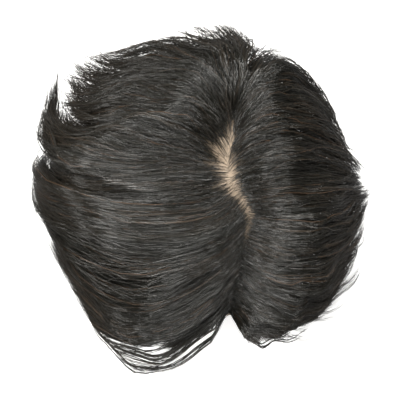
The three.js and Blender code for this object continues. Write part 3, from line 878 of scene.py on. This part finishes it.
class Sum:
    """A socket of a node tree that Python's operators work on."""

    def __init__(self, tree, socket=None):
        self.tree = tree
        self.socket = socket

    def put(self, target, value):
        """Links a Sum to a target socket, or sets a plain value on it."""
        if isinstance(value, Sum):
            self.tree.links.new(value.socket, target)
        else:
            target.default_value = value

    def node(self, kind, settings=None, inputs=None, output=0):
        """Adds a node of any type: its settings first, with a ramp's stops as (place, colour) rows, then
        the values or links of its sockets."""
        made = self.tree.nodes.new("ShaderNode" + kind)
        for name, value in (settings or {}).items():
            if name == "stops":
                ramp = made.color_ramp
                while len(ramp.elements) < len(value):
                    ramp.elements.new(1.0)
                for element, (place, colour) in zip(ramp.elements, value):
                    element.position = place
                    element.color = (*colour, 1)
            else:
                setattr(made, name, value)
        for name, value in (inputs or {}).items():
            self.put(made.inputs[name], value)
        return Sum(self.tree, made.outputs[output])

    def math(self, operation, *values):
        """Adds a Math node that does an operation on the values."""
        return self.node("Math", {"operation": operation}, dict(enumerate(values)))

    def __add__(self, other):
        return self.math("ADD", self, other)

    def __radd__(self, other):
        return self.math("ADD", other, self)

    def __sub__(self, other):
        return self.math("SUBTRACT", self, other)

    def __rsub__(self, other):
        return self.math("SUBTRACT", other, self)

    def __mul__(self, other):
        return self.math("MULTIPLY", self, other)

    def __rmul__(self, other):
        return self.math("MULTIPLY", other, self)

    def __pow__(self, other):
        return self.math("POWER", self, other)


# %% Helpers for finishes
# The numbers of a Mix node's sockets when it mixes colours
MIX_FACTOR, MIX_ONE, MIX_OTHER, MIX_RESULT = 0, 6, 7, 2


def new_finish(name):
    """A material with only its shader and output. Returns it, the shader and a Sum to start from."""
    material = bpy.data.materials.new(name)
    material.use_nodes = True
    tree = material.node_tree
    return material, tree.nodes["Principled BSDF"], Sum(tree)


def blend_colours(sums, factor, one, other):
    """A mix of two colours by a factor."""
    sockets = {MIX_FACTOR: factor, MIX_ONE: one, MIX_OTHER: other}
    return sums.node("Mix", {"data_type": "RGBA"}, sockets, output=MIX_RESULT)


def remap(sums, value, old, new):
    """A value carried from one range to another, and held inside it."""
    return sums.node("MapRange", inputs={0: value, 1: old[0], 2: old[1], 3: new[0], 4: new[1]})


# %% [markdown]
# Dark hair is nearly black, with brown and a few copper hairs among it. What makes it look like hair is
# the gloss that runs along each strand. Blender's own hair shader would give it, but other programs can't
# read that, so a coat of shine lies over a dark strand instead, uneven along its length. The strands that
# dip into the hollow of the wave get painted shade there: they are darker and lose their shine, standing
# in for the shade that falls between two waves.

# %% Hair finish
BLACK_HAIR = (0.0075, 0.0073, 0.0055)
DARK_HAIR = (0.021, 0.0195, 0.0145)
BROWN_HAIR = (0.047, 0.033, 0.021)
COPPER_HAIR = (0.12, 0.067, 0.036)
TONE_STOPS = [(0.0, BLACK_HAIR), (0.45, DARK_HAIR), (0.75, BROWN_HAIR), (0.95, COPPER_HAIR)]
# place along a strand that dips into the hollow, and how much painted shade it has there: darker and
# without shine
PAINTED_SHADE_STRETCH = [(0.0, 0.6), (0.22, 0.5), (0.34, 0.1), (0.45, 1.0), (0.72, 1.0), (0.88, 0.0)]
UNEVEN_COLUMNS, UNEVEN_ALONG = 0.8, 4.0  # how fast the noise changes across columns, and along a strand
TIP_BROWN, TIP_POWER = 0.5, 3  # how brown tips are, and how late they turn
UNEVEN_BLACK, PAINTED_SHADE_BLACK = 0.5, 0.8  # how far the noise, and the painted shade in the hollow, blacken a strand
ROUGH_FROM, ROUGHNESS = (0.3, 0.7), (0.14, 0.4)  # noise, and the roughness it gives
SHINE_FROM, SHINE = (0.4, 0.6), (1.0, 0.2)  # noise, and the coat of shine it gives
COAT_ROUGHNESS, COAT_IOR, SPECULAR_LEVEL = 0.2, 1.95, 0.2


def hair_finish():
    """Colour by shade column, a little browner towards the tips, with uneven gloss along the strand. The
    columns past the tones carry painted shade for the hollow: they are darker, and lose their coat of
    shine along that stretch."""
    material, shader, sums = new_finish("dark_hair")
    place = sums.node("UVMap", {"uv_map": "OFBake"})
    column = sums.node("SeparateXYZ", inputs={0: place}, output=0)
    along = sums.node("SeparateXYZ", inputs={0: place}, output=1)
    number = sums.math("FLOOR", column * SHADE_COLUMNS)
    past_tones = sums.math("GREATER_THAN", number, TONES - 0.5)
    tone_place = (number - past_tones * TONES) * (1 / TONES)
    tone = sums.node("ValToRGB", {"stops": TONE_STOPS}, {0: tone_place})
    painted_shade_stops = [(spot, (painted_darkness, painted_darkness, painted_darkness)) for spot, painted_darkness in PAINTED_SHADE_STRETCH]
    # Painted shade in the hollow: the extra columns turn darker and lose their coat of shine along a
    # stretch.
    painted_shade = past_tones * sums.node("ValToRGB", {"stops": painted_shade_stops}, {0: along})
    noise_place = sums.node("CombineXYZ", inputs={0: number * UNEVEN_COLUMNS, 1: along * UNEVEN_ALONG})
    uneven = sums.node("TexNoise", inputs={"Vector": noise_place, "Scale": 1.0, "Detail": 2.0})
    tipped = blend_colours(sums, along**TIP_POWER * TIP_BROWN, tone, (*BROWN_HAIR, 1))
    colour = blend_colours(sums, uneven * UNEVEN_BLACK, tipped, (*BLACK_HAIR, 1))
    darkened = blend_colours(sums, painted_shade * PAINTED_SHADE_BLACK, colour, (*BLACK_HAIR, 1))
    sums.put(shader.inputs["Base Color"], darkened)
    sums.put(shader.inputs["Roughness"], remap(sums, uneven, ROUGH_FROM, ROUGHNESS))
    sums.put(shader.inputs["Coat Weight"], remap(sums, uneven, SHINE_FROM, SHINE) * (1 - painted_shade))
    shader.inputs["Coat Roughness"].default_value = COAT_ROUGHNESS
    shader.inputs["Coat IOR"].default_value = COAT_IOR
    shader.inputs["Specular IOR Level"].default_value = SPECULAR_LEVEL
    return material


dark_hair = hair_finish()
for hair_piece in hair_pieces:
    hair_piece.data.materials.append(dark_hair)
print("hair finish on", len(hair_pieces), "pieces")

# %% [markdown]
# The base is a skin-toned film under a fine net. It shows only at the parting and inside: blotchy beige,
# with the dark specks of knots. It could be painted, but noise and cells on the base's own coordinates
# need no picture and stay sharp up close.

# %% Scalp finish
SCALP_PALE = (0.36, 0.285, 0.215)
SCALP_WARM = (0.24, 0.172, 0.11)
KNOT = (0.12, 0.08, 0.05)
BLOTCHES, KNOTS = 90.0, 700.0  # how many to a metre
SPECK_FROM, SPECK = (0.15, 0.4), (0.75, 0.0)  # distance from a cell's middle, and how dark it is there
SCALP_ROUGHNESS, BLOTCH_ROUGHER = 0.55, 0.2
NET_STRENGTH, NET_HEIGHT = 0.35, 0.0003


def scalp_finish():
    """Two beiges mixed by soft noise, dark specks at the cells' middles, and a fine raised net."""
    material, shader, sums = new_finish("scalp_skin")
    place = sums.node("TexCoord", output="Object")
    blotch = sums.node("TexNoise", inputs={"Vector": place, "Scale": BLOTCHES, "Detail": 3.0})
    skin = blend_colours(sums, blotch, (*SCALP_PALE, 1), (*SCALP_WARM, 1))
    cell = sums.node("TexVoronoi", inputs={"Vector": place, "Scale": KNOTS})
    speck = remap(sums, cell, SPECK_FROM, SPECK)
    sums.put(shader.inputs["Base Color"], blend_colours(sums, speck, skin, (*KNOT, 1)))
    sums.put(shader.inputs["Roughness"], SCALP_ROUGHNESS + blotch * BLOTCH_ROUGHER)
    net = sums.node("Bump", inputs={"Strength": NET_STRENGTH, "Distance": NET_HEIGHT, "Height": cell})
    sums.put(shader.inputs["Normal"], net)
    return material


scalp_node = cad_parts["scalp_base"]
scalp_node.data.materials.clear()
scalp_node.data.materials.append(scalp_finish())
print("scalp finish on scalp_base")

# %% [markdown]
# The floor is the plain white of a studio table. Brighter lamps would whiten it, but the hair as well, so
# it glows a little by itself.

# %% Floor finish
FLOOR_GREY, FLOOR_WHITE = (0.9, 0.9, 0.9, 1), (0.92, 0.92, 0.92, 1)
FLOOR_ROUGHNESS, FLOOR_GLOW = 0.9, 0.6

floor_material, floor_shader, floor_sums = new_finish("pale_floor")
floor_place = floor_sums.node("TexCoord", output="Object")
floor_grain = floor_sums.node("TexNoise", inputs={"Vector": floor_place, "Scale": 3.0})
floor_colour = blend_colours(floor_sums, floor_grain, FLOOR_GREY, FLOOR_WHITE)
floor_sums.put(floor_shader.inputs["Base Color"], floor_colour)
floor_shader.inputs["Roughness"].default_value = FLOOR_ROUGHNESS
floor_shader.inputs["Emission Color"].default_value = (1, 1, 1, 1)
floor_shader.inputs["Emission Strength"].default_value = FLOOR_GLOW
floor.data.materials.append(floor_material)
print("floor finish on floor")
